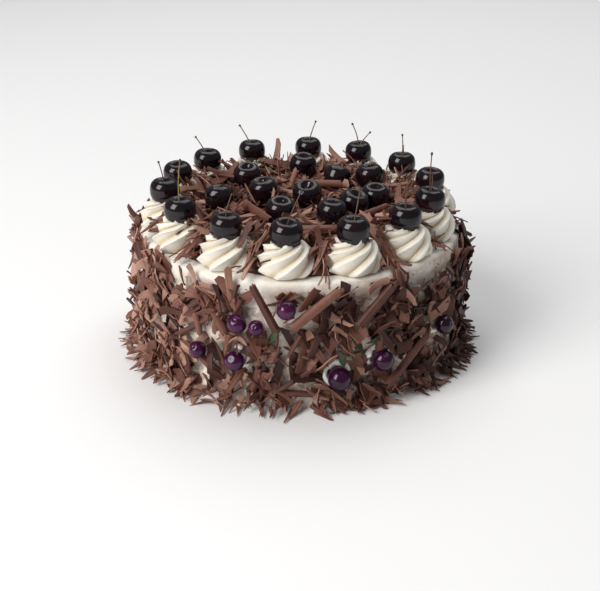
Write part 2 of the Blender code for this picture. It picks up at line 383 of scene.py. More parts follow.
def cream_finish(name):
    """Soft white cream with painted shade, yellower and darker, deep in its grooves; on the side a tan tint
    mixed with painted shade, and chocolate smears.
    """
    cream = bpy.context.scene.cake_cream
    finish = Finish(name)
    # Painted shade: deep in the swirls' grooves the cream is tinted darker and yellower.
    deep = finish.attribute("groove") * (0.75 + 0.5 * finish.noise(120.0))
    tint = finish.mix(deep.clamped(), cream.color, cream.groove_shade_color)
    # Partly a tan tint and partly painted shade: the side's cream is darkened below the top, most towards the
    # right.
    tint_and_shade = finish.attribute("tint_and_shade")
    tint = finish.mix((tint_and_shade * (2.0 * finish.noise(70.0, 3.0) - 0.4)).clamped(), tint, cream.side_tint_and_shade_color)
    smear = finish.attribute("smear") * (11.0 * finish.noise(150.0, 4.0, 0.6) - 5.2).clamped()
    tint = finish.mix(0.85 * smear, tint, cream.stain_color)
    finish.set(Base_Color=tint, Roughness=0.42 + 0.2 * finish.noise(300.0))
    finish.bump(finish.noise(420.0, 4.0, 0.6) + 0.3 * finish.noise(1500.0, 2.0), 0.00022)
    finish.set(Subsurface_Weight=0.12, Subsurface_Scale=0.004)
    finish.shader.inputs["Subsurface Radius"].default_value = (1.0, 0.75, 0.5)


def chocolate_finish(name):
    """Shaved chocolate with fine scraping lines along each shaving."""
    choc = bpy.context.scene.cake_chocolate
    finish = Finish(name)
    grain = finish.attribute("grain")
    lines = 0.5 * finish.streaks(grain, 2.2, 3.0) + 0.5 * finish.streaks(grain, 0.7, 2.0)
    cloud = finish.noise(140.0, 3.0)
    tone = finish.attribute("tone") + 0.30 * (cloud - 0.5) + 0.65 * (lines - 0.5)
    deep = finish.mix((tone * 2.0).clamped(), choc.dark, choc.brown)
    tint = finish.mix((tone * 2.0 - 1.0).clamped(), deep, choc.pale)
    finish.set(Base_Color=tint, Roughness=(0.34 + 0.35 * finish.noise(260.0)).clamped())
    finish.bump(lines + 0.35 * finish.noise(1100.0, 3.0), 0.00030, 0.8)
    finish.set(Specular_IOR_Level=0.30)


def cherry_finish(name):
    """Near-black glossy skin."""
    fruit = bpy.context.scene.cake_fruit
    finish = Finish(name)
    blush = (0.018, 0.003, 0.006)
    tint = finish.mix((1.6 * finish.noise(90.0) - 0.55).clamped(), fruit.cherry_color, blush)
    finish.set(Base_Color=tint, Roughness=0.10 + 0.06 * finish.noise(500.0))
    finish.bump(finish.noise(160.0, 2.0), 0.00012, 0.6)
    finish.set(IOR=1.45)


def berry_finish(name, shaded_copy):
    """Purple glossy skin with a little bloom; the second argument at 1 gives a nearly black copy, painted
    shade for the berries on the cake's right.
    """
    fruit = bpy.context.scene.cake_fruit
    finish = Finish(name)
    # Painted shade: the copy for the cake's right is made darker.
    light = 1.25 - 0.65 * shaded_copy
    colors = (fruit.berry_color, (0.075, 0.003, 0.060))
    tint, blush = (tuple(light * part for part in color) for color in colors)
    tint = finish.mix((2.2 * finish.noise(160.0, 3.0) - 0.8).clamped(), tint, blush)
    finish.set(Base_Color=tint, Roughness=0.10 + 0.10 * finish.noise(400.0))
    finish.bump(finish.noise(300.0, 2.0), 0.00010, 0.6)
    finish.set(IOR=1.45)


def stem_finish(name):
    """Dry stems from olive to reddish brown, darker towards their knobs."""
    finish = Finish(name)
    tint = finish.mix(finish.attribute("tone"), (0.23, 0.21, 0.045), (0.12, 0.045, 0.035))
    tint = finish.mix((finish.attribute("grain") * 0.9).clamped(), tint, (0.035, 0.020, 0.014))
    finish.set(Base_Color=tint, Roughness=0.5 + 0.2 * finish.noise(900.0))
    finish.bump(finish.noise(1600.0), 0.0001)


def leaf_finish(name):
    """Dark green leaf, paler along its middle."""
    finish = Finish(name)
    edge = (finish.attribute("grain") * finish.attribute("grain") * 0.15).clamped()
    tint = finish.mix(edge, (0.060, 0.090, 0.030), (0.018, 0.034, 0.016))
    tint = finish.mix((finish.noise(300.0, 3.0) - 0.2).clamped(), tint, (0.022, 0.040, 0.018))
    finish.set(Base_Color=tint, Roughness=0.40 + 0.2 * finish.noise(600.0))
    finish.bump(finish.noise(900.0, 3.0), 0.0002)


def floor_finish(name):
    """Plain pale floor."""
    stage = bpy.context.scene.cake_stage
    finish = Finish(name)
    finish.set(Base_Color=stage.floor_color, Roughness=0.75)


# -------- cream


def coat_profile(u):
    """Radius and height of the cream coat from the middle of the top (0) to the foot (1)."""
    radius = BODY_RADIUS - 0.0004
    top = BODY_TOP
    bend = 0.005
    flat = radius - bend
    arc = 0.5 * pi * bend
    side = top - bend
    run = u * (flat + arc + side)
    if run < flat:
        return run, top
    if run < flat + arc:
        angle = (run - flat) / bend
        return flat + bend * sin(angle), top - bend + bend * cos(angle)
    return radius, side - (run - flat - arc)


def coat_point(u, v):
    """Point of the spread cream, with the marks of the spatula."""
    radius, height = coat_profile(u)
    angle = 2 * pi * v
    point = Vector((radius * cos(angle), radius * sin(angle), height))
    relief = bpy.context.scene.cake_cream.relief
    on_side = 1 - smooth_step(BODY_TOP - 0.012, BODY_TOP - 0.005, height)
    relief *= 1 + 1.3 * on_side
    edge = smooth_step(0.04, 0.10, radius) * smooth_step(0.0, 0.004, height)
    dent = ripple(Vector((point.x, point.y, 2.2 * point.z)), 60.0, relief) - 0.6 * relief
    dent += ripple(point, 190.0, 0.5 * relief, 3.0)
    away = Vector((point.x, point.y, 0)).normalized() if radius > 1e-5 else Vector((0, 0, 0))
    on_side = 1 - smooth_step(BODY_TOP - 0.005, BODY_TOP, height)
    point += edge * dent * (on_side * away + (1 - on_side) * Vector((0, 0, 1)))
    return point


def swirl_outline(rise):
    """Share of full radius and of full height along a swirl's side, from foot 0 to lip 1."""
    arc = radians(88) * rise
    spread = 0.42 + 0.58 * cos(arc) ** 0.60
    if rise < 0.18:
        spread *= 0.86 + 0.14 * sin(0.5 * pi * rise / 0.18)
    return spread, sin(arc) ** 1.15


def swirl_ridge(turn, ridges, seed):
    """Height of the ridge at a turn round the swirl (0 in the groove, 1 on the crest) and its wildness."""
    ridge = int(turn) % ridges
    share = turn - int(turn)
    wild = 0.5 + 0.5 * noise.cell(Vector((ridge + 0.5, 7.3 * seed + 0.2, 0.5)))
    crest = 0.22 + 0.14 * wild
    if share < crest:
        return (share / crest) ** 0.85, wild
    return (1 - (share - crest) / (1 - crest)) ** 0.72, wild


def swirl_point(u, v, foot, radius, height, start, ridges):
    """Point of a piped swirl: u runs round it, v from its foot over the lip into its cup."""
    cream = bpy.context.scene.cake_cream
    rise = min(v / 0.88, 1.0)
    cup = max(0.0, (v - 0.88) / 0.12)
    spread, lift = swirl_outline(rise)
    bulge, wild = swirl_ridge(u * ridges, ridges, start)
    depth = cream.groove_depth * (0.75 + 0.5 * wild) * (0.55 + 0.60 * rise)
    torn = noise.noise(Vector((70 * v, 3.0 * int(u * ridges), start)))
    blade = 0.055 * bulge ** 7 * (0.5 + wild) + 0.075 * max(0.0, torn) * bulge ** 9 * rise
    out = radius * spread * (1 - depth * (1 - bulge) + blade) * (1 - 0.78 * cup)
    tooth = (0.04 + 0.12 * wild) * bulge ** 2 * smooth_step(0.72, 1.0, rise)
    ragged = max(0.0, noise.noise(Vector((26 * cos(2 * pi * u), 26 * sin(2 * pi * u), start))))
    tooth += 0.22 * ragged * smooth_step(0.88, 1.0, rise)
    up = height * (lift + (tooth + 0.02) * (1 - cup) - 0.26 * cup)
    angle = 2 * pi * u + start + cream.twist * (0.30 * rise + 0.70 * rise ** 1.6)
    point = Vector((out * cos(angle), out * sin(angle), up))
    wobble = noise.noise_vector(point * 190.0 + Vector((start, 0, 0)))
    point += 0.018 * radius * wobble * smooth_step(0.0, 0.1, rise) * (1 - cup)
    point.z = max(point.z, 0.0)
    return foot + point, 1 - bulge


def piped_swirl(number, node):
    """One twisted star-piped swirl in the place of its CAD node."""
    cream = bpy.context.scene.cake_cream
    size = extent(node)
    foot = middle(node) - Vector((0, 0, 0.5 * size.z + 0.0006))
    radius = 0.5 * max(size.x, size.y) * 1.05
    start = radians(137.5 * number)
    bm = bmesh.new()
    groove = bm.verts.layers.float.new("groove")
    steps = 17
    for vert, u, v in grid_points(bm, cream.ridges * steps, 46):
        vert.co, deep = swirl_point(u, v, foot, radius, size.z + 0.0010, start, cream.ridges)
        # Painted shade mask: 1 deep in a groove, 0 on a crest.
        vert[groove] = deep ** 1.2
    close_up(bm, 5e-6)
    add_piece(f"piped_{node}", bm, "whipped_cream", "cream", node)


# -------- fruit


def cherry_point(u, v, radius, half_height, dimple, seed):
    """Point of a cherry round its own middle: broad-shouldered, deeply dimpled, with a faint seam."""
    polar = pi * v
    around = 2 * pi * u
    out = sin(polar) ** 0.86 if 0 < v < 1 else 0.0
    rise = cos(polar)
    height = half_height * (rise ** 0.72 if rise > 0 else -((-rise) ** 0.95))
    if rise > 0:
        height -= dimple * exp(-(out / 0.36) ** 2.2)
    else:
        out *= 1 - 0.07 * rise * rise
    out *= radius * (1 - 0.03 * exp(-((u - 0.5) / 0.04) ** 2))
    point = Vector((out * cos(around), out * sin(around), height))
    return point * (1 + ripple(point, 70.0, 0.035, seed))


def cherry_radius():
    """Radius of a cherry, from the CAD."""
    return 0.5 * extent(LOOSE_NODES[0]).x


def add_fruit(node, steps, form, matrix, skin, slot):
    """Bend a grid into a fruit, close it, put it in place and let it stand for its CAD node."""
    bm = bmesh.new()
    shaped_grid(bm, *steps, form)
    close_up(bm, 2e-6)
    bm.transform(matrix)
    add_piece(f"glossy_{node}", bm, skin, slot, node)


def add_cherry(node, place, tilt, turn):
    """One cherry at a place, tipped and turned; those at the front are a little larger."""
    fruit = bpy.context.scene.cake_fruit
    seed = 3.1 * turn
    grow = 1.0 + 0.015 * sin(7 * turn) + 0.05 * smooth_step(0.0, 0.09, -place.y)

    def form(u, v):
        return cherry_point(u, v, 1.02 * cherry_radius(), fruit.cherry_half_height, fruit.dimple, seed)

    matrix = Matrix.Translation(place) @ tilt @ Matrix.Rotation(turn, 4, "Z") @ Matrix.Scale(grow, 4)
    add_fruit(node, (44, 30), form, matrix, "cherry_skin", "cherry")


@cache
def rim_place(index):
    """Middle of a rim cherry: over its swirl, at its CAD node's height."""
    over = middle(SWIRL_NODES[index])
    low = box(RIM_NODES[index])[0][2]
    return Vector((over.x, over.y, low + bpy.context.scene.cake_fruit.cherry_half_height)).freeze()


def stem_tips(index):
    """Ends of a rim cherry's stems: the CAD's highest point on each side of its middle."""
    place = rim_place(index)
    clear = place.z + bpy.context.scene.cake_fruit.cherry_half_height + 0.003
    points = [vert.co.copy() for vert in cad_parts[RIM_NODES[index]].data.vertices]
    tips = []
    for side in (-1, 1):
        over = [p for p in points if p.z > clear and side * (p.x - place.x) > 0]
        if over:
            tips.append(max(over, key=lambda p: p.z))
    return tips


def add_tube(bm, route, radii, tone, sides=7):
    """Loft a closed thin tube along a route, with a tone for its colour and grain along it."""
    tone_layer = bm.verts.layers.float["tone"]
    grain_layer = bm.verts.layers.float["grain"]
    rings = []
    for index, (point, radius) in enumerate(zip(route, radii)):
        ahead = route[min(index + 1, len(route) - 1)] - route[max(index - 1, 0)]
        turn = ahead.to_track_quat("Z", "Y").to_matrix().to_4x4()
        ring = bmesh.ops.create_circle(
            bm, segments=sides, radius=radius, matrix=Matrix.Translation(point) @ turn)["verts"]
        for vert in ring:
            vert[tone_layer] = tone
            vert[grain_layer] = smooth_step(0.82, 1.0, index / (len(route) - 1))
        rings.append(list({edge for vert in ring for edge in vert.link_edges}))
    for lower, upper in zip(rings, rings[1:]):
        bmesh.ops.bridge_loops(bm, edges=lower + upper)
    bmesh.ops.holes_fill(bm, edges=rings[0])
    bmesh.ops.holes_fill(bm, edges=rings[-1])


def add_stem(bm, root, tip, tone, sway):
    """One bent stem with a knob, from the dimple to its tip."""
    radius = bpy.context.scene.cake_fruit.stem_radius
    route = []
    radii = []
    steps = 24
    for step in range(steps + 1):
        share = step / steps
        point = root.lerp(tip, share)
        point.x -= 0.10 * (tip.x - root.x) * sin(pi * share) - sway * sin(pi * share)
        route.append(point)
        knob = exp(-((share - 0.965) / 0.030) ** 2)
        radii.append(radius * (1.15 - 0.30 * share + 1.5 * knob))
    add_tube(bm, route, radii, tone)


def berry_point(u, v, radius, seed):
    """Point of a round side berry with a small dent at its crown."""
    polar = pi * v
    around = 2 * pi * u
    dent = 0.10 * exp(-(sin(polar) / 0.22) ** 2) if v < 0.5 else 0.0
    out = radius * sin(polar) if 0 < v < 1 else 0.0
    point = Vector((out * cos(around), out * sin(around), radius * (cos(polar) - dent)))
    return point * (1 + ripple(point, 110.0, 0.04, seed))


def add_berry(node, number):
    """One dark berry in the side, crown turned outwards."""
    place = middle(node)
    radius = 0.5 * extent(node).z

    def form(u, v):
        return berry_point(u, v, radius, 5.3 * number)

    tip = turned(50 + 25 * sin(3 * number), "Y")
    matrix = Matrix.Translation(place) @ Matrix.Rotation(atan2(place.y, place.x), 4, "Z") @ tip
    # Berries on the cake's right get the darker skin as painted shade.
    add_fruit(node, (32, 20), form, matrix, "shaded_berry_skin" if place.x > 0 else "berry_skin", "berry")


def add_collars():
    """Lumpy rings of cream squeezed up round the larger side berries, as one piece."""
    bm = bmesh.new()
    for number, node in enumerate(BERRY_NODES):
        if extent(node).z < COLLARED:
            continue
        place = middle(node)
        radius = 0.5 * extent(node).z
        foot = against_side(BODY_RADIUS, bearing_of(place), place.z, 0.0)

        def form(u, v):
            around, across = 2 * pi * u, 2 * pi * v
            lump = ripple(Vector((cos(around), sin(around), 3.7 * number)), 1.6, 1.0)
            thick = 0.0017 * (1 + 0.50 * lump)
            out = radius + 0.0003 + thick * cos(across)
            lift = thick * (0.35 + 1.1 * sin(across)) * (1 + 0.5 * lump)
            return foot @ Vector((out * cos(around), out * sin(around), lift))

        shaped_grid(bm, 40, 12, form)
    close_up(bm, 2e-6)
    add_piece("cream_collars", bm, "whipped_cream", "cream")


# -------- chocolate


def new_shape(name):
    """A bmesh with the layers that the chocolate finish reads."""
    bm = bmesh.new()
    bm.verts.layers.float.new("tone")
    bm.verts.layers.float.new("grain")
    return bm


def kept_sheet(bm, name, thickness):
    """Give an open sheet its thickness and store it as a mesh that scatter can copy."""
    bmesh.ops.recalc_face_normals(bm, faces=bm.faces)
    bmesh.ops.solidify(bm, geom=bm.faces[:], thickness=thickness)
    return stored(bm, name)


def flake_shape(rng, length, width, bend, tip=0.0):
    """A thin flake with straight broken edges; tip 1 draws its far end to a point."""
    bm = new_shape("flake")
    grain = bm.verts.layers.float["grain"]
    sides = [(rng.uniform(0.65, 1.0), rng.uniform(0.55, 1.0) * (1 - tip)) for _ in range(2)]
    chipped = [(rng.choice((0.25, 0.5, 0.75, 2.0)), rng.uniform(0.72, 0.92)) for _ in range(2)]
    slant = [rng.uniform(-0.9, 0.9) * width * (1 - 0.7 * tip) for _ in range(2)]
    beak = [rng.uniform(-0.10, 0.35) * width for _ in range(2)]
    offset = rng.uniform(0, 40)
    dish = rng.uniform(-0.35, 0.35) / width
    twist = rng.uniform(-0.5, 0.5)
    for vert, u, v in grid_points(bm, 4, 2):
        across = 2 * v - 1
        near, far = sides[across > 0]
        start, left = chipped[across > 0]
        half = 0.5 * width * max(near + (far - near) * u, 0.04) * (left if u > start else 1.0)
        x = (u - 0.5) * length + 0.5 * across * (slant[0] * (1 - u) + slant[1] * u)
        x += (1 - abs(across)) * (beak[1] * u - beak[0] * (1 - u))
        y = across * half
        angle = bend * x / length
        lift = dish * y * y + twist * x * y / length
        vert.co = Vector((length / bend * sin(angle), y, length / bend * (1 - cos(angle)) + lift))
        vert[grain] = 1000 * y + offset
    return kept_sheet(bm, "flake", bpy.context.scene.cake_chocolate.thickness)


def flake_set(rng, count, lengths, widths, bends, tips=(0.0, 0.0)):
    """Several different flakes within ranges of length, width, bend and tip."""
    return [flake_shape(rng, rng.uniform(*lengths), rng.uniform(*widths),
                        rng.choice((-1, 1)) * rng.uniform(*bends), rng.uniform(*tips)) for _ in range(count)]


def curl_shape(rng, length, radius, turns, taper=0.8, steps=4, seam=0.0):
    """A rolled curl: a strip wound into a spiral tube with ragged ends; seam turns its outer edge."""
    bm = new_shape("curl")
    grain = bm.verts.layers.float["grain"]
    around = round(11 * turns)
    ragged = [rng.uniform(-0.06, 0.06) * length for _ in range(2 * around + 2)]
    offset = rng.uniform(0, 40)
    for vert, u, v in grid_points(bm, steps, around):
        angle = 2 * pi * turns * v + seam
        wind = radius * (1 - 0.45 * v) * (1 - (1 - taper) * u)
        slot = round(v * around)
        end = ragged[slot] * max(0.0, 1 - 3 * u) + ragged[around + slot] * max(0.0, 3 * u - 2)
        vert.co = Vector(((u - 0.5) * length + end, wind * cos(angle), wind * sin(angle)))
        vert[grain] = 700 * radius * angle + offset
    return kept_sheet(bm, "curl", 0.8 * bpy.context.scene.cake_chocolate.thickness)


def curl_set(rng, count, lengths, radii, turns):
    """Several different curls within ranges of length, radius and turns."""
    return [curl_shape(rng, rng.uniform(*lengths), rng.uniform(*radii), rng.uniform(*turns))
            for _ in range(count)]


def crumb_shape(rng, radius):
    """A tiny broken crumb."""
    bm = new_shape("crumb")
    for vert in bmesh.ops.create_icosphere(bm, subdivisions=1, radius=radius)["verts"]:
        vert.co *= rng.uniform(0.6, 1.3)
        vert.co.z *= 0.6
    return stored(bm, "crumb")


def leaf_shape(length):
    """A bit of leaf: a pointed oval folded a little along its middle."""
    bm = new_shape("leaf")
    grain = bm.verts.layers.float["grain"]
    for vert, u, v in grid_points(bm, 8, 4):
        across = 2 * v - 1
        half = 0.21 * length * max(sin(pi * u), 0.05) ** 0.8
        fold = 0.35 * abs(across) * half - 0.10 * length * u * u
        vert.co = Vector(((u - 0.5) * length, across * half, fold))
        vert[grain] = 2 * abs(across)
    return kept_sheet(bm, "leaf", 0.0004)


def scatter(name, shapes, places, *nodes):
    """Join copies of shapes into one piece above the floor; a place is (matrix, shape number, tone)."""
    joined = new_shape(name)
    for matrix, number, tone in places:
        mesh = shapes[number % len(shapes)]
        mesh.attributes["tone"].data.foreach_set("value", [tone] * len(mesh.vertices))
        mesh.transform(matrix)
        joined.from_mesh(mesh, face_normals=False, vertex_normals=False)
        mesh.transform(matrix.inverted())
    for mesh in shapes:
        bpy.data.meshes.remove(mesh)
    for vert in joined.verts:
        vert.co.z = max(vert.co.z, 0.0002)
    joined.normal_update()
    add_piece(name, joined, "shaved_chocolate", "chocolate", *nodes, crease=35)


def stretch(rng, low, high):
    """Scale a copy in its own plane only, so that its thickness stays true."""
    return Matrix.Diagonal((rng.uniform(low, high), rng.uniform(low, high), 1.0, 1.0))


def against_side(radius, bearing, height, spin, lean=0.0, swing=0.0):
    """Lay a shape on the side: its X runs down it, its Z faces out; then spin, lean and swing it."""
    stand = Matrix.Translation(on_ring(radius, bearing, height)) @ turned(bearing, "Z")
    return stand @ turned(90, "Y") @ turned(spin, "Z") @ turned(lean, "X") @ turned(swing, "Y")


def laid(spot, yaw, dip, roll):
    """Lay a shape at a spot: rolled about its X, dipped about its Y, then turned about Z."""
    return Matrix.Translation(spot) @ turned(yaw, "Z") @ turned(dip, "Y") @ turned(roll, "X")


def facing_out(place, run):
    """Matrix at a place with X along a run and Z as near as can be away from the cake's axis."""
    along = run.normalized()
    outward = Vector((place.x, place.y, 0.0)).normalized()
    aside = outward.cross(along).normalized()
    turn = Matrix((along, aside, along.cross(aside))).transposed()
    return Matrix.Translation(place) @ turn.to_4x4()


def add_quills(name, rng, ends, form, tones):
    """Quills between pairs of points as one piece; form is the curl's radius, turns, taper and more."""
    quills = []
    places = []
    for start, end in ends:
        quills.append(curl_shape(rng, (end - start).length, *form))
        places.append((facing_out((start + end) / 2, end - start), len(places), rng.uniform(*tones)))
    scatter(name, quills, places)


@cache
def roll_ends(node):
    """Ends of a CAD roll: the middles of its upper and lower points."""
    level = middle(node).z
    points = [vert.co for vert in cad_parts[node].data.vertices]
    upper = [p for p in points if p.z > level]
    lower = [p for p in points if p.z <= level]
    return (sum(lower, Vector()) / len(lower)).freeze(), (sum(upper, Vector()) / len(upper)).freeze()


def near_line(point, start, end):
    """Distance from a point to the line between two points."""
    run = end - start
    share = min(1.0, max(0.0, (point - start).dot(run) / run.length_squared))
    return (point - start - share * run).length


def side_is_free(matrix, reach):
    """Whether a shaving of some half length can lie here without hiding a berry or a roll."""
    for along in (-reach, 0, reach):
        point = matrix @ Vector((along, 0, 0))
        if point.z < 0.003:
            return False
        for node in BERRY_NODES:
            collar = 0.0034 if extent(node).z > COLLARED else 0.0012
            if (point - middle(node)).length < 0.5 * extent(node).z + collar:
                return False
        for node in ROLL_NODES:
            if near_line(point, *roll_ends(node)) < 0.0042:
                return False
    return True


def bare_cream(bearing, height):
    """How bare the side is here: 1 where cream shows, 0 where shavings are thick."""
    point = on_ring(BODY_RADIUS, bearing, height)
    middle_front = 0.05 * (1 - abs(shade_side(bearing)))
    patch = smooth_step(-0.02, 0.16, middle_front + noise.noise(point * 58.0 + Vector((4.0, 2.0, 9.0))))
    edge = BODY_TOP - 0.009 + 0.005 * shade_side(bearing) + ripple(point, 60.0, 0.006, 5.0)
    rim = smooth_step(edge, edge + 0.005, height)
    return max((0.90 + 0.06 * shade_side(bearing)) * patch, 0.97 * rim)


def shade_side(bearing):
    """1 on the left of the cake and -1 on its right, for painted light and shade: the shavings are paler on
    the lit left and darker on the shaded right, where the chocolate is also darker.
    """
    return -cos(radians(bearing))


def side_tone(rng, bearing, mean, slope, spread):
    """Tone of a shaving on the side, paler on the left and darker on the right: partly painted light and
    shade.
    """
    return mean + slope * shade_side(bearing) + rng.gauss(0, spread)


def either_way(rng, low, high):
    """A number between two bounds, with either sign."""
    return rng.choice((-1, 1)) * rng.uniform(low, high)


def side_places(rng, count, shapes, pose, margins, depths, reach, tones, patchy=0.0, sizes=None):
    """Shavings on the side, between margins from foot and top and at depths past the cake's radius.

    pose() draws spin, lean and swing; patchy says how far they keep off the bare cream.
    """
    places = []
    while len(places) < count:
        bearing = rng.uniform(0, 360)
        height = rng.uniform(margins[0], BODY_TOP - margins[1])
        if patchy and rng.random() < patchy * bare_cream(bearing, height):
            continue
        out = BODY_RADIUS + rng.uniform(*depths)
        matrix = against_side(out, bearing, height, *pose())
        if side_is_free(matrix, reach):
            # tones are mean, slope and spread; the slope is partly painted light and shade.
            tone = side_tone(rng, bearing, *tones)
            if sizes:
                matrix = matrix @ stretch(rng, *sizes)
            places.append((matrix, rng.randrange(len(shapes)), tone))
    return places


def foot_places(rng, count, shapes):
    """Shards round the foot, pointing out and down."""
    places = []
    for _ in range(count):
        bearing = rng.uniform(0, 360)
        share = rng.random()
        radius = BODY_RADIUS + 0.0035 + 0.0090 * share
        height = 0.0012 + 0.013 * (1 - share) * rng.random()
        yaw = bearing + rng.gauss(0, 52)
        dip = rng.uniform(0, 50) * (1 - 0.8 * share)
        matrix = laid(on_ring(radius, bearing, height), yaw, dip, rng.gauss(0, 26)) @ stretch(rng, 0.6, 1.1)
        # Partly painted light and shade: paler on the left, darker on the right.
        tone = side_tone(rng, bearing, 0.41, 0.29, 0.20)
        places.append((matrix, rng.randrange(len(shapes)), tone))
    return places


def heap_height(x, y):
    """Height of the heap's core at a point of the top."""
    low, high = box("top_shavings")
    share = min(1.0, sqrt(x * x + y * y) / HEAP_RADIUS)
    body = 0.62 * (high[2] - low[2]) * (1 - 0.80 * share ** 4)
    lumps = ripple(Vector((x, y, 0.0)), 90.0, 0.0016) + ripple(Vector((x, y, 1.0)), 260.0, 0.0008)
    return low[2] + body + lumps


def clear_of_swirl(point, node):
    """Whether a point lies outside a swirl, which narrows upwards."""
    share = smooth_step(0.2, 1.0, (point.z - BODY_TOP) / extent(node).z)
    return aside(point, middle(node)) > 0.5 * extent(node).x * (0.98 - 0.42 * share)


def top_is_free(matrix, reach):
    """Whether a shaving of some half length lies clear of the fruit and the swirls."""
    for along in (-reach, 0, reach):
        point = matrix @ Vector((along, 0, 0))
        if any((point - middle(node)).length < cherry_radius() + 0.0004 for node in LOOSE_NODES):
            return False
        for index, node in enumerate(SWIRL_NODES):
            if not clear_of_swirl(point, node):
                return False
            if (point - rim_place(index)).length < cherry_radius() + 0.0006:
                return False
    return True


def heap_places(rng, count, shapes, reach, spread, draw):
    """Shavings clear of the fruit and the swirls: draw() gives a matrix."""
    places = []
    while len(places) < count:
        matrix = draw()
        if top_is_free(matrix, reach):
            places.append((matrix, rng.randrange(len(shapes)), 0.50 + rng.gauss(0, spread)))
    return places


def top_places(rng, count, shapes, reach, upright):
    """Shavings lying in the heap; upright is the share of them that stand up."""

    def draw():
        spot = on_ring((HEAP_RADIUS + 0.004) * sqrt(rng.random()), rng.uniform(0, 360), 0.0)
        spot.z = heap_height(spot.x, spot.y) + rng.uniform(-0.0005, 0.0050)
        yaw = rng.uniform(0, 360)
        steep = rng.uniform(30, 65) if rng.random() < upright else abs(rng.gauss(0, 11))
        return laid(spot, yaw, -steep, rng.gauss(0, 24)) @ stretch(rng, 0.75, 1.25)

    return heap_places(rng, count, shapes, reach, 0.24, draw)


def bank_places(rng, count, shapes):
    """Shards banked up against the inner side of the swirls."""

    def draw():
        bearing = rng.uniform(0, 360)
        spot = on_ring(rng.uniform(0.068, 0.090), bearing, BODY_TOP + rng.uniform(0.010, 0.021))
        yaw = bearing + rng.gauss(0, 55)
        return laid(spot, yaw, -rng.gauss(22, 16), rng.gauss(0, 40)) @ stretch(rng, 0.75, 1.2)

    return heap_places(rng, count, shapes, 0.006, 0.22, draw)


def gap_places(rng, shapes, each):
    """Strips lying outwards through the gaps between the swirls, over the cake's edge."""
    places = []
    inner, outer = 0.082, 0.107
    for index, node in enumerate(SWIRL_NODES):
        bearing = bearing_of((middle(node) + middle(SWIRL_NODES[(index + 1) % len(SWIRL_NODES)])) / 2)
        for _ in range(each):
            radius = rng.uniform(inner, outer)
            swing = bearing + rng.gauss(0, 0.80214)
            slope = 0.013 * (outer - radius) / (outer - inner)
            height = BODY_TOP + 0.004 + slope + rng.uniform(-0.002, 0.003)
            yaw = bearing + rng.gauss(0, 19.4806)
            dip = rng.uniform(8, 42)
            matrix = laid(on_ring(radius, swing, height), yaw, dip, rng.gauss(0, 50)) @ stretch(rng, 0.7, 1.1)
            places.append((matrix, rng.randrange(len(shapes)), 0.58 + rng.gauss(0, 0.15)))
    return places


# -------- operators


class CAKE_OT_cream_coat(bpy.types.Operator):
    """Spread the cream coat over the cake"""

    bl_idname = "cake.cream_coat"
    bl_label = "Cream coat"

    def execute(self, context):
        cream_finish("whipped_cream")
        bm = bmesh.new()
        tint_and_shade = bm.verts.layers.float.new("tint_and_shade")
        smear = bm.verts.layers.float.new("smear")
        for vert in shaped_grid(bm, 120, 300, coat_point):
            # Grows towards the cake's right: it paints shade on the side's cream and thickens the chocolate
            # smears there.
            right = 0.85 - 0.40 * shade_side(bearing_of(vert.co))
            depth = BODY_TOP - vert.co.z
            if depth > 0.002:
                vert[smear] = min(1.0, right * right * (0.20 + 0.90 * smooth_step(0.008, 0.020, depth)))
            vert[tint_and_shade] = right * (0.85 + 0.15 * smooth_step(0.005, 0.016, depth))
            vert[tint_and_shade] *= smooth_step(0.001, 0.003, depth)
        close_up(bm, 2e-6)
        add_piece("cream_coat", bm, "whipped_cream", "cream", "cake_body", crease=50)
        return {"FINISHED"}


class CAKE_OT_swirls(bpy.types.Operator):
    """Pipe the ring of swirls"""

    bl_idname = "cake.swirls"
    bl_label = "Piped swirls"

    def execute(self, context):
        noise.seed_set(3)  # without it noise_vector changes from run to run
        for number, node in enumerate(SWIRL_NODES):
            piped_swirl(number, node)
        return {"FINISHED"}


class CAKE_OT_cherries(bpy.types.Operator):
    """Set the cherries on the swirls and in the heap"""

    bl_idname = "cake.cherries"
    bl_label = "Cherries"

    def execute(self, context):
        cherry_finish("cherry_skin")
        rng = Random(21)

        def tipped(mean, spread):
            return turned(rng.gauss(mean, spread), "X") @ turned(rng.gauss(0, spread), "Y")

        for index, node in enumerate(RIM_NODES):
            add_cherry(node, rim_place(index), tipped(0, 3), rng.uniform(0, 6.28))
        for node in LOOSE_NODES:
            add_cherry(node, middle(node), tipped(4, 7), rng.uniform(0, 6.28))
        return {"FINISHED"}


class CAKE_OT_stems(bpy.types.Operator):
    """Grow the cherries' stems"""

    bl_idname = "cake.stems"
    bl_label = "Stems"

    def execute(self, context):
        fruit = context.scene.cake_fruit
        rng = Random(5)
        bm = new_shape("stems")
        for index in range(len(RIM_NODES)):
            for tip in stem_tips(index):
                root = rim_place(index) + Vector((0, 0, fruit.cherry_half_height - fruit.dimple - 0.0008))
                fresh = index == 8 and (tip - root).length > 0.026 and tip.x > root.x - 0.004
                tone = 0.0 if fresh else rng.uniform(0.8, 1.0) - 0.3 * smooth_step(0.0, 0.09, root.y)
                add_stem(bm, root, tip, tone, rng.uniform(-0.0008, 0.0008))
        bmesh.ops.recalc_face_normals(bm, faces=bm.faces)
        stem_finish("stem")
        add_piece("cherry_stems", bm, "stem", "cherry")
        return {"FINISHED"}


class CAKE_OT_berries(bpy.types.Operator):
    """Press the small berries into the side"""

    bl_idname = "cake.berries"
    bl_label = "Side berries"

    def execute(self, context):
        berry_finish("berry_skin", 0.0)
        berry_finish("shaded_berry_skin", 1.0)
        for number, node in enumerate(BERRY_NODES):
            add_berry(node, number)
        add_collars()
        return {"FINISHED"}


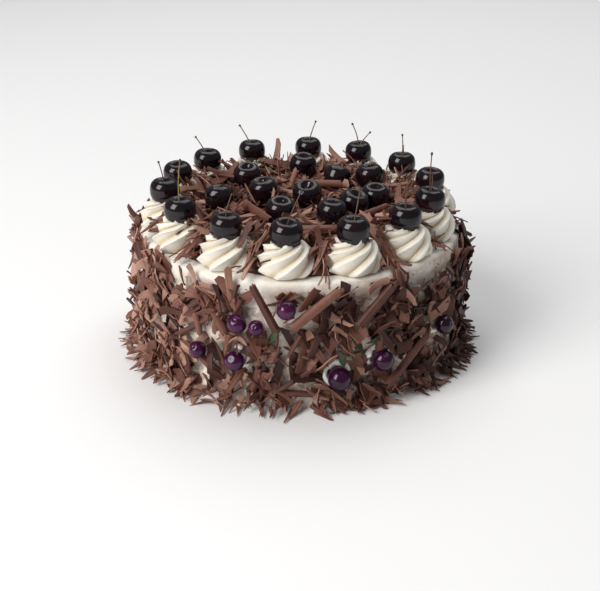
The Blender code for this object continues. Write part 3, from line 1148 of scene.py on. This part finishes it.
class CAKE_OT_rolls(bpy.types.Operator):
    """Lay the large chocolate rolls on the side"""

    bl_idname = "cake.rolls"
    bl_label = "Chocolate rolls"

    def execute(self, context):
        chocolate_finish("shaved_chocolate")
        rng = Random(9)
        for number, node in enumerate(ROLL_NODES):
            lower, upper = roll_ends(node)
            run = upper - lower
            shape = curl_shape(rng, run.length, 0.0032, 1.6, 0.80, 8, radians(50))
            place = facing_out((lower + upper) / 2, run)
            scatter(f"shaved_{node}", [shape], [(place, 0, ROLL_TONES[number])], node)
        ring = BODY_RADIUS + 0.0034
        ends = [(on_ring(ring, bearing, height), on_ring(ring, end_bearing, end_height))
                for bearing, height, end_bearing, end_height in PLACED_QUILLS]
        add_quills("placed_quills", rng, ends, (0.0026, 1.5, 0.7, 8, radians(50)), (0.15, 0.45))
        return {"FINISHED"}


class CAKE_OT_side_shavings(bpy.types.Operator):
    """Cover the side with flakes, slivers and curls"""

    bl_idname = "cake.side_shavings"
    bl_label = "Side shavings"

    def execute(self, context):
        choc = context.scene.cake_chocolate
        rng = Random(11)

        def flake_pose():
            spin = rng.choice((-1, 1)) * rng.gauss(38, 24)
            swing = rng.gauss(0, 15) if rng.random() < 0.75 else either_way(rng, 20, 50)
            return spin, rng.gauss(0, 26), swing

        def sliver_pose():
            swing = rng.gauss(0, 14) if rng.random() < 0.75 else either_way(rng, 30, 60)
            return rng.gauss(0, 42), rng.gauss(0, 30), swing

        def curl_pose():
            return either_way(rng, 8, 62), rng.uniform(0, 360), rng.gauss(0, 5)

        flakes = flake_set(rng, 28, (0.009, 0.023), (0.005, 0.0110), (0.15, 1.1), (0.0, 0.5))
        # Tones: mean, left-to-right slope (partly painted light and shade) and spread.
        places = side_places(rng, choc.side_flakes, flakes, flake_pose, (0.005, 0.002),
                             (0.0004, 0.0054), 0.006, (0.35, 0.27, 0.30), 1.0, (0.75, 1.25))
        scatter("side_flakes", flakes, places, "side_shavings")
        slivers = flake_set(rng, 16, (0.008, 0.020), (0.0012, 0.0030), (0.1, 1.0), (0.5, 0.95))
        places = side_places(rng, choc.side_slivers, slivers, sliver_pose, (0.004, 0.002),
                             (0.001, 0.0048), 0.005, (0.31, 0.27, 0.26), 0.8, (0.7, 1.3))
        scatter("side_slivers", slivers, places)
        curls = curl_set(rng, 12, (0.014, 0.030), (0.0014, 0.0027), (1.1, 1.7))
        places = side_places(rng, choc.side_curls, curls, curl_pose, (0.012, 0.014),
                             (0.0022, 0.0050), 0.010, (0.25, 0.20, 0.18))
        scatter("side_curls", curls, places)
        return {"FINISHED"}


class CAKE_OT_foot_fringe(bpy.types.Operator):
    """Lay the spiky fringe round the foot"""

    bl_idname = "cake.foot_fringe"
    bl_label = "Foot fringe"

    def execute(self, context):
        choc = context.scene.cake_chocolate
        rng = Random(17)
        shards = flake_set(rng, 20, (0.010, 0.018), (0.0040, 0.0085), (0.1, 0.8), (0.6, 0.97))
        scatter("foot_shards", shards, foot_places(rng, choc.foot_shards, shards), "foot_fringe")
        return {"FINISHED"}


class CAKE_OT_top_shavings(bpy.types.Operator):
    """Heap the shavings between the cherries and swirls"""

    bl_idname = "cake.top_shavings"
    bl_label = "Top shavings"

    def execute(self, context):
        choc = context.scene.cake_chocolate
        rng = Random(31)
        bm = new_shape("heap")
        tone = bm.verts.layers.float["tone"]

        def form(u, v):
            point = on_ring((HEAP_RADIUS + 0.0015) * u, 360 * v, 0.0)
            point.z = heap_height(point.x, point.y)
            for node in SWIRL_NODES:
                if aside(point, middle(node)) < 0.5 * extent(node).x + 0.001:
                    point.z = BODY_TOP + 0.0004
            if u > 0.999:
                point.z = BODY_TOP - 0.0005
            return point

        for vert in shaped_grid(bm, 60, 200, form):
            # Partly painted shade: the core is chocolate, given a dark tone for the shaded depths between the
            # shavings.
            vert[tone] = 0.15
        close_up(bm, 2e-6)
        add_piece("heap_core", bm, "shaved_chocolate", "chocolate", "top_shavings")
        for name, shapes, lying, upright, banked, gaps in (
                ("top_strips", (24, (0.016, 0.032), (0.0034, 0.0076), (0.15, 1.0), (0.0, 0.6)),
                 choc.top_strips, 0.10, 150, 5),
                ("top_slivers", (20, (0.012, 0.030), (0.0009, 0.0022), (0.2, 1.4), (0.2, 0.8)),
                 choc.top_slivers, 0.16, 120, 7)):
            flakes = flake_set(rng, *shapes)
            places = top_places(rng, lying, flakes, 0.008, upright)
            places += bank_places(rng, banked, flakes) + gap_places(rng, flakes, gaps)
            scatter(name, flakes, places)
        curls = curl_set(rng, 8, (0.016, 0.032), (0.0015, 0.0028), (1.1, 1.6))
        scatter("top_curls", curls, top_places(rng, 30, curls, 0.010, 0.10))
        ends = [(Vector((x, y, height)), Vector((end_x, end_y, height)))
                for x, y, end_x, end_y, height in HEAP_QUILLS]
        add_quills("heap_quills", rng, ends, (0.0029, 1.4, 0.85, 8), (0.3, 0.55))
        return {"FINISHED"}


class CAKE_OT_trimmings(bpy.types.Operator):
    """Add crumbs and bits of leaf"""

    bl_idname = "cake.trimmings"
    bl_label = "Crumbs and leaves"

    def execute(self, context):
        rng = Random(41)
        crumbs = [crumb_shape(rng, rng.uniform(0.0004, 0.0009)) for _ in range(8)]
        places = []
        for _ in range(110):
            spot = on_ring(BODY_RADIUS + 0.0002, rng.uniform(0, 360), rng.uniform(0.066, BODY_TOP - 0.004))
            places.append((Matrix.Translation(spot), rng.randrange(8), 0.4))
        scatter("crumbs", crumbs, places)
        leaf_finish("leaf_green")
        bm = new_shape("leaf_bits")
        for bearing, height, spin, length in LEAF_BITS:
            mesh = leaf_shape(length)
            mesh.transform(against_side(BODY_RADIUS + 0.0048, bearing, height, spin, rng.gauss(0, 20)))
            bm.from_mesh(mesh)
            bpy.data.meshes.remove(mesh)
        add_piece("leaf_bits", bm, "leaf_green", "chocolate")
        return {"FINISHED"}


class CAKE_OT_stage(bpy.types.Operator):
    """Set the floor, the lights and the camera"""

    bl_idname = "cake.stage"
    bl_label = "Stage"

    def execute(self, context):
        add_floor()
        add_lights(context.scene)
        add_camera(context.scene)
        return {"FINISHED"}


def add_floor():
    """Wide pale floor under the cake."""
    bm = bmesh.new()
    bmesh.ops.create_grid(bm, x_segments=1, y_segments=1, size=6.0)
    mesh = stored(bm, "floor")
    floor_finish("floor")
    mesh.materials.append(bpy.data.materials["floor"])
    floor = linked("floor", mesh)


def add_softbox(name, place, aim, size, power, color):
    """A wide soft light that faces a point."""
    light = bpy.data.lights.new(name, "AREA")
    light.shape = "RECTANGLE"
    light.size, light.size_y = size
    light.energy = power
    light.color = color
    softbox = linked(name, light)
    softbox.location = place
    softbox.rotation_euler = (Vector(place) - Vector(aim)).to_track_quat("Z", "Y").to_euler()


def add_lights(scene):
    """Dim pale surroundings, a big softbox high on the left and one overhead behind."""
    stage = scene.cake_stage
    add_softbox("key", (-1.32, -1.08, 1.25), (0.0, 0.0, 0.06), (1.1, 1.6), stage.key_power,
                (1.0, 0.985, 0.96))
    add_softbox("overhead", (0.2, 1.3, 2.3), (0.0, 0.5, 0.0), (2.6, 2.6), stage.top_power,
                (1.0, 0.99, 0.98))
    world = bpy.data.worlds.new("pale_room")
    world.use_nodes = True
    sky = world.node_tree.nodes["Background"]
    sky.inputs["Color"].default_value = (0.95, 0.97, 1.0, 1.0)
    sky.inputs["Strength"].default_value = stage.room_light
    scene.world = world
    scene.view_settings.view_transform = "Standard"


def add_camera(scene):
    """Camera in front of the cake, looking down on it."""
    stage = scene.cake_stage
    lens = bpy.data.cameras.new("camera")
    lens.sensor_width = 36.0
    lens.lens = stage.lens
    camera = linked("camera", lens)
    camera.location = (0.0, -stage.distance, stage.height)
    camera.rotation_euler = (radians(90) - stage.pitch, 0.0, 0.0)
    scene.camera = camera


OPERATORS = (
    CAKE_OT_cream_coat, CAKE_OT_swirls, CAKE_OT_cherries, CAKE_OT_stems, CAKE_OT_berries,
    CAKE_OT_rolls, CAKE_OT_side_shavings, CAKE_OT_foot_fringe, CAKE_OT_top_shavings,
    CAKE_OT_trimmings, CAKE_OT_stage,
)
SETTINGS = {
    "cake_cream": CreamSettings,
    "cake_fruit": FruitSettings,
    "cake_chocolate": ChocolateSettings,
    "cake_stage": StageSettings,
}


class CAKE_PT_panel(bpy.types.Panel):
    """Steps and settings of the cake"""

    bl_idname = "CAKE_PT_panel"
    bl_label = "Black forest cake"
    bl_space_type = "VIEW_3D"
    bl_region_type = "UI"
    bl_category = "Cake"

    def draw(self, context):
        layout = self.layout
        for step in OPERATORS:
            layout.operator(step.bl_idname)
        for name, group in SETTINGS.items():
            box = layout.box()
            settings = getattr(context.scene, name)
            for prop in group.__annotations__:
                box.prop(settings, prop)


def register():
    """Register the settings, the steps and the panel."""
    for name, group in SETTINGS.items():
        bpy.utils.register_class(group)
        setattr(bpy.types.Scene, name, PointerProperty(type=group))
    for step in OPERATORS:
        bpy.utils.register_class(step)
    bpy.utils.register_class(CAKE_PT_panel)


def unregister():
    """Undo register."""
    bpy.utils.unregister_class(CAKE_PT_panel)
    for step in reversed(OPERATORS):
        bpy.utils.unregister_class(step)
    for name, group in SETTINGS.items():
        delattr(bpy.types.Scene, name)
        bpy.utils.unregister_class(group)


def main():
    """Dress the cake and set the stage."""
    register()
    bpy.ops.cake.cream_coat()
    bpy.ops.cake.swirls()
    bpy.ops.cake.cherries()
    bpy.ops.cake.stems()
    bpy.ops.cake.berries()
    bpy.ops.cake.rolls()
    bpy.ops.cake.side_shavings()
    bpy.ops.cake.foot_fringe()
    bpy.ops.cake.top_shavings()
    bpy.ops.cake.trimmings()
    bpy.ops.cake.stage()


if __name__ == "__main__":
    main()
